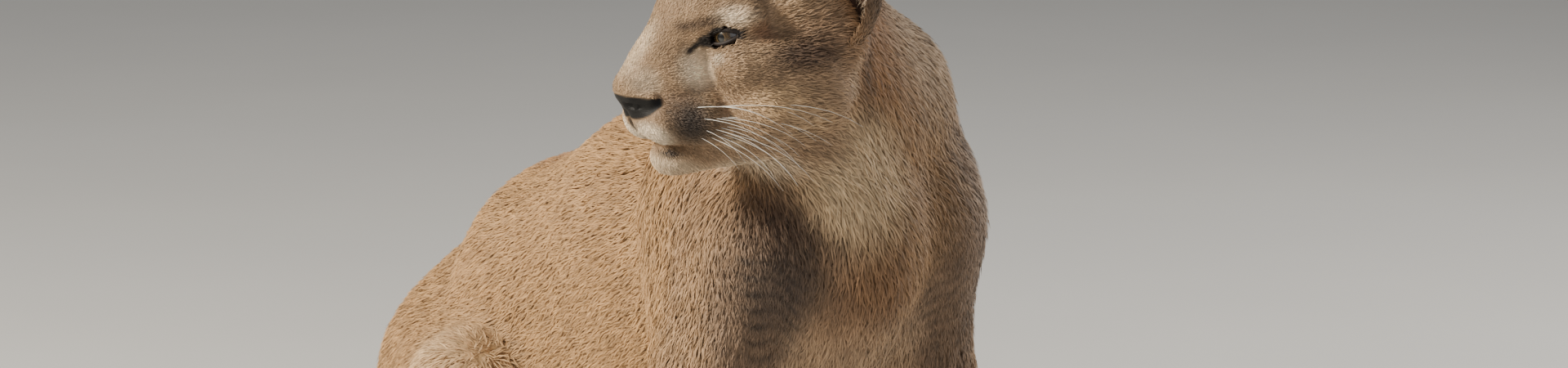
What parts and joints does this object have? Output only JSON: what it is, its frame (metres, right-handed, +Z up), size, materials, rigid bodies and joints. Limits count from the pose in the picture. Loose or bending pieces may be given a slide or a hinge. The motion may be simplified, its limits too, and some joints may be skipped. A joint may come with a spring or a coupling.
{
  "type": "sitting cougar",
  "caption": "Life-size cougar sitting upright on its haunches, forelegs straight, head turned to its right, tail laid round its left side.",
  "frame": {"origin": "on the floor under the middle of the bounding box", "axes": "+Z up, the body faces -Y, the animal's left is +X, and the head is turned a quarter round to face -X"},
  "size_m": [0.5188, 0.8904, 0.7328],
  "materials": {
    "tawny_fur": "short tawny fur",
    "pale_fur": "short pale fur",
    "nose_leather": "bare dark skin",
    "eye": "wet and glossy"
  },
  "bodies": {
    "root": {"nose": "nose_leather", "jaw": "pale_fur", "muzzle": "pale_fur", "head": "tawny_fur", "neck": "tawny_fur", "forepaw_left": "tawny_fur", "forearm_left": "tawny_fur", "upper_arm_left": "tawny_fur", "hind_foot_left": "tawny_fur", "shin_left": "tawny_fur", "thigh_left": "tawny_fur", "forepaw_right": "tawny_fur", "forearm_right": "tawny_fur", "upper_arm_right": "tawny_fur", "hind_foot_right": "tawny_fur", "shin_right": "tawny_fur", "thigh_right": "tawny_fur", "tail_end": "tawny_fur", "tail_middle": "tawny_fur", "tail_root": "tawny_fur", "rump": "tawny_fur", "belly": "tawny_fur", "chest": "tawny_fur", "eye_left": "eye", "ear_left": "tawny_fur", "eye_right": "eye", "ear_right": "tawny_fur"}
  },
  "joints": []
}
